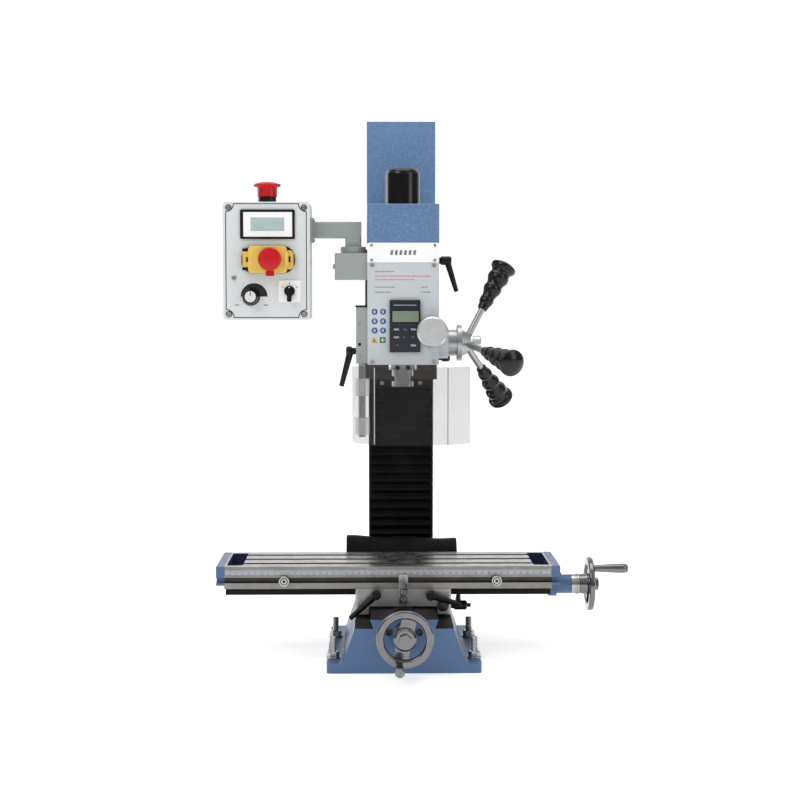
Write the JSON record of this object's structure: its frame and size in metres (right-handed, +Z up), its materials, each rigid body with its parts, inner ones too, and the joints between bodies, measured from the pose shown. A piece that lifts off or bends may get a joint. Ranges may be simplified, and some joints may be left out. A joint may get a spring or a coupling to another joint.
{
  "type": "benchtop milling machine",
  "caption": "Small vertical milling machine with a dovetail column, tilting head, capstan quill feed, cross table on feed screws and a swivelling control box.",
  "frame": {"origin": "on the bench plane, on the machine's middle line, 26 mm in front of the spindle axis", "axes": "+Z up, -Y towards the operator at the front, +X to the operator's right"},
  "size_m": [0.6432, 0.5477, 0.851],
  "materials": {
    "blue_base": "satin",
    "blue_hammered": "satin",
    "fasteners": "satin",
    "column_iron": "satin",
    "bellows_rubber": "matt",
    "saddle_iron": "satin",
    "bronze": "satin",
    "fitting_steel": "satin",
    "table_iron": "ground",
    "stop_steel": "polished",
    "chrome": "polished",
    "screw_steel": "satin",
    "carriage_iron": "satin",
    "frame_black": "satin",
    "head_grey": "satin",
    "plate_white": "satin",
    "motor_black": "satin",
    "belt_rubber": "matt",
    "pulley_aluminium": "satin",
    "panel_black": "gloss",
    "block_grey": "satin",
    "rod_steel": "polished",
    "clear_sheet": "clear",
    "black_plastic": "gloss",
    "fine_grey": "satin",
    "box_grey": "satin",
    "red_plastic": "gloss",
    "yellow_plastic": "gloss",
    "green_plastic": "gloss"
  },
  "bodies": {
    "frame": {"base_casting": "blue_base", "base_fasteners": "fasteners", "column_casting": "column_iron", "column_cover": "blue_hammered", "column_bellows": "bellows_rubber", "way_cover": "bellows_rubber"},
    "saddle": {"saddle_casting": "saddle_iron", "feed_nuts": "bronze", "saddle_fittings": "fitting_steel"},
    "table": {"table_casting": "table_iron", "table_cap_left": "blue_hammered", "table_cap_right": "blue_hammered", "table_stops": "stop_steel"},
    "x_wheel": {"x_handwheel": "chrome", "x_screw": "screw_steel"},
    "x_grip": {"x_grip": "chrome"},
    "y_wheel": {"y_handwheel": "chrome", "y_screw": "screw_steel"},
    "y_grip": {"y_grip": "chrome"},
    "z_wheel": {"z_handwheel": "chrome"},
    "carriage": {"z_carriage": "carriage_iron", "bellows_frame": "frame_black"},
    "head": {"head_housing": "head_grey", "head_cover": "head_grey", "name_plate": "plate_white", "top_cover": "blue_hammered", "drive_motor": "motor_black", "drive_belt": "belt_rubber", "dro_panel": "panel_black", "guard_block": "block_grey", "arm_bracket": "block_grey"},
    "motor_rotor": {"motor_pulley": "pulley_aluminium"},
    "drive_pulley": {"spindle_pulley": "pulley_aluminium"},
    "cap": {"drawbar_cap": "panel_black"},
    "quill": {"quill": "rod_steel", "quill_collar": "rod_steel"},
    "spindle": {"spindle": "rod_steel"},
    "capstan": {"capstan_hub": "rod_steel", "capstan_grips": "black_plastic"},
    "clutch": {"clutch_knob": "black_plastic"},
    "fine_feed": {"fine_feed_knob": "fine_grey"},
    "guard_rod": {"guard_rod": "rod_steel"},
    "guard": {"guard_shield": "clear_sheet"},
    "control": {"control_arm": "block_grey", "control_box": "box_grey", "control_lid": "box_grey", "panel_fittings": "panel_black"},
    "estop": {"estop_button": "red_plastic"},
    "flip_cover": {"switch_cover": "yellow_plastic"},
    "stop_pad": {"switch_pad": "red_plastic"},
    "start": {"start_button": "green_plastic"},
    "stop": {"stop_button": "red_plastic"},
    "speed": {"speed_knob": "black_plastic"},
    "selector": {"selector_handle": "black_plastic"},
    "x_lock_left": {"x_lock_left": "black_plastic"},
    "x_lock_right": {"x_lock_right": "black_plastic"},
    "y_lock": {"y_lock": "black_plastic"},
    "z_lock": {"z_lock": "black_plastic"},
    "guard_lever": {"guard_lever": "black_plastic"},
    "quill_lock": {"quill_lock": "black_plastic"}
  },
  "joints": [
    {"name": "y_feed", "type": "hinge", "parent": "frame", "child": "y_wheel", "pos_m": [0, -0.156, 0.063], "axis": [0, 1, 0], "range_deg": [-11718, 13518]},
    {"name": "y_grip_spin", "type": "hinge", "parent": "y_wheel", "child": "y_grip", "pos_m": [-0.00822, -0.156, 0.0259], "axis": [0, -1, 0], "continuous": true},
    {"name": "saddle_slide", "type": "slide", "parent": "frame", "child": "saddle", "axis": [0, 1, 0], "range_m": [-0.065, 0.075], "deforming": ["way_cover"]},
    {"name": "x_feed", "type": "hinge", "parent": "table", "child": "x_wheel", "pos_m": [0.2675, 0.026, 0.1055], "axis": [1, 0, 0], "range_deg": [-22518, 29718]},
    {"name": "x_grip_spin", "type": "hinge", "parent": "x_wheel", "child": "x_grip", "pos_m": [0.2675, 0.00127, 0.13435], "axis": [1, 0, 0], "continuous": true},
    {"name": "table_slide", "type": "slide", "parent": "saddle", "child": "table", "axis": [1, 0, 0], "range_m": [-0.125, 0.165]},
    {"name": "z_feed", "type": "hinge", "parent": "frame", "child": "z_wheel", "pos_m": [0, 0.24, 0.752], "axis": [0, 0, 1], "range_deg": [-18, 33318]},
    {"name": "carriage_slide", "type": "slide", "parent": "frame", "child": "carriage", "axis": [0, 0, -1], "range_m": [0, 0.185], "deforming": ["column_bellows"]},
    {"name": "head_tilt", "type": "hinge", "parent": "carriage", "child": "head", "pos_m": [0, 0.172, 0.55], "axis": [0, -1, 0], "range_deg": [-45, 45]},
    {"name": "motor_spin", "type": "hinge", "parent": "head", "child": "motor_rotor", "pos_m": [0, 0.112, 0.64], "axis": [0, 0, 1], "continuous": true},
    {"name": "pulley_spin", "type": "hinge", "parent": "head", "child": "drive_pulley", "pos_m": [0, 0.026, 0.64], "axis": [0, 0, 1], "continuous": true},
    {"name": "quill_slide", "type": "slide", "parent": "head", "child": "quill", "axis": [0, 0, -1], "range_m": [0, 0.05], "stiffness_N_per_m": 600, "springref_m": -0.05},
    {"name": "spindle_spin", "type": "hinge", "parent": "quill", "child": "spindle", "pos_m": [0, 0.026, 0.5], "axis": [0, 0, 1], "continuous": true},
    {"name": "cap_lift", "type": "slide", "parent": "head", "child": "cap", "axis": [0, 0, 1], "range_m": [0, 0.08]},
    {"name": "capstan_turn", "type": "hinge", "parent": "head", "child": "capstan", "pos_m": [0.07, -0.005, 0.49], "axis": [1, 0, 0], "range_deg": [0, 270]},
    {"name": "clutch_turn", "type": "hinge", "parent": "capstan", "child": "clutch", "pos_m": [0.1053, -0.005, 0.49], "axis": [1, 0, 0], "range_deg": [0, 360]},
    {"name": "fine_feed_spin", "type": "hinge", "parent": "head", "child": "fine_feed", "pos_m": [0.044, -0.038, 0.508], "axis": [0, -1, 0], "continuous": true},
    {"name": "guard_height", "type": "slide", "parent": "head", "child": "guard_rod", "axis": [0, 0, 1], "range_m": [0, 0.014]},
    {"name": "guard_swing", "type": "hinge", "parent": "guard_rod", "child": "guard", "pos_m": [-0.0635, -0.02, 0.4], "axis": [0, 0, -1], "range_deg": [0, 35]},
    {"name": "guard_clamp", "type": "hinge", "parent": "head", "child": "guard_lever", "pos_m": [-0.0725, -0.02, 0.4777], "axis": [1, 0, 0], "range_deg": [0, 40]},
    {"name": "arm_swivel", "type": "hinge", "parent": "head", "child": "control", "pos_m": [-0.0767, -0.005, 0.628], "axis": [0, 0, 1], "range_deg": [-20, 85]},
    {"name": "estop_press", "type": "slide", "parent": "control", "child": "estop", "axis": [0, 0, -1], "range_m": [0, 0.004], "stiffness_N_per_m": 800, "springref_m": -0.002},
    {"name": "flip_cover_swing", "type": "hinge", "parent": "control", "child": "flip_cover", "pos_m": [-0.241, -0.054, 0.618], "axis": [0, 0, -1], "range_deg": [0, 110]},
    {"name": "pad_press", "type": "slide", "parent": "flip_cover", "child": "stop_pad", "axis": [0, 1, 0], "range_m": [0, 0.0023], "stiffness_N_per_m": 600, "springref_m": -0.002},
    {"name": "start_press", "type": "slide", "parent": "control", "child": "start", "axis": [0, 1, 0], "range_m": [0, 0.0025], "stiffness_N_per_m": 500, "springref_m": -0.002},
    {"name": "stop_press", "type": "slide", "parent": "control", "child": "stop", "axis": [0, 1, 0], "range_m": [0, 0.0025], "stiffness_N_per_m": 500, "springref_m": -0.002},
    {"name": "speed_turn", "type": "hinge", "parent": "control", "child": "speed", "pos_m": [-0.232, -0.045, 0.5614], "axis": [0, -1, 0], "range_deg": [0, 270]},
    {"name": "selector_turn", "type": "hinge", "parent": "control", "child": "selector", "pos_m": [-0.1732, -0.047, 0.57], "axis": [0, -1, 0], "range_deg": [-60, 60]},
    {"name": "x_lock_left_turn", "type": "hinge", "parent": "saddle", "child": "x_lock_left", "pos_m": [-0.0418, -0.0455, 0.104], "axis": [0, 1, 0], "range_deg": [0, 50]},
    {"name": "x_lock_right_turn", "type": "hinge", "parent": "saddle", "child": "x_lock_right", "pos_m": [0.0421, -0.0455, 0.103], "axis": [0, -1, 0], "range_deg": [0, 60]},
    {"name": "y_lock_turn", "type": "hinge", "parent": "saddle", "child": "y_lock", "pos_m": [0.074, 0, 0.077], "axis": [-1, 0, 0], "range_deg": [0, 18]},
    {"name": "z_lock_turn", "type": "hinge", "parent": "carriage", "child": "z_lock", "pos_m": [0.06, 0.19, 0.622], "axis": [1, 0, 0], "range_deg": [0, 45]},
    {"name": "quill_lock_turn", "type": "hinge", "parent": "head", "child": "quill_lock", "pos_m": [0.055, 0.026, 0.467], "axis": [1, 0, 0], "range_deg": [0, 30]}
  ],
  "couplings": [
    {"joint": "y_feed", "follows": "saddle_slide", "rad_per_m": 3141.6},
    {"joint": "x_feed", "follows": "table_slide", "rad_per_m": 3141.6},
    {"joint": "z_feed", "follows": "carriage_slide", "rad_per_m": 3141.6},
    {"joint": "pulley_spin", "follows": "motor_spin", "ratio": 0.66667},
    {"joint": "spindle_spin", "follows": "motor_spin", "ratio": 0.66667},
    {"joint": "quill_slide", "follows": "capstan_turn", "m_per_rad": 0.010504}
  ]
}
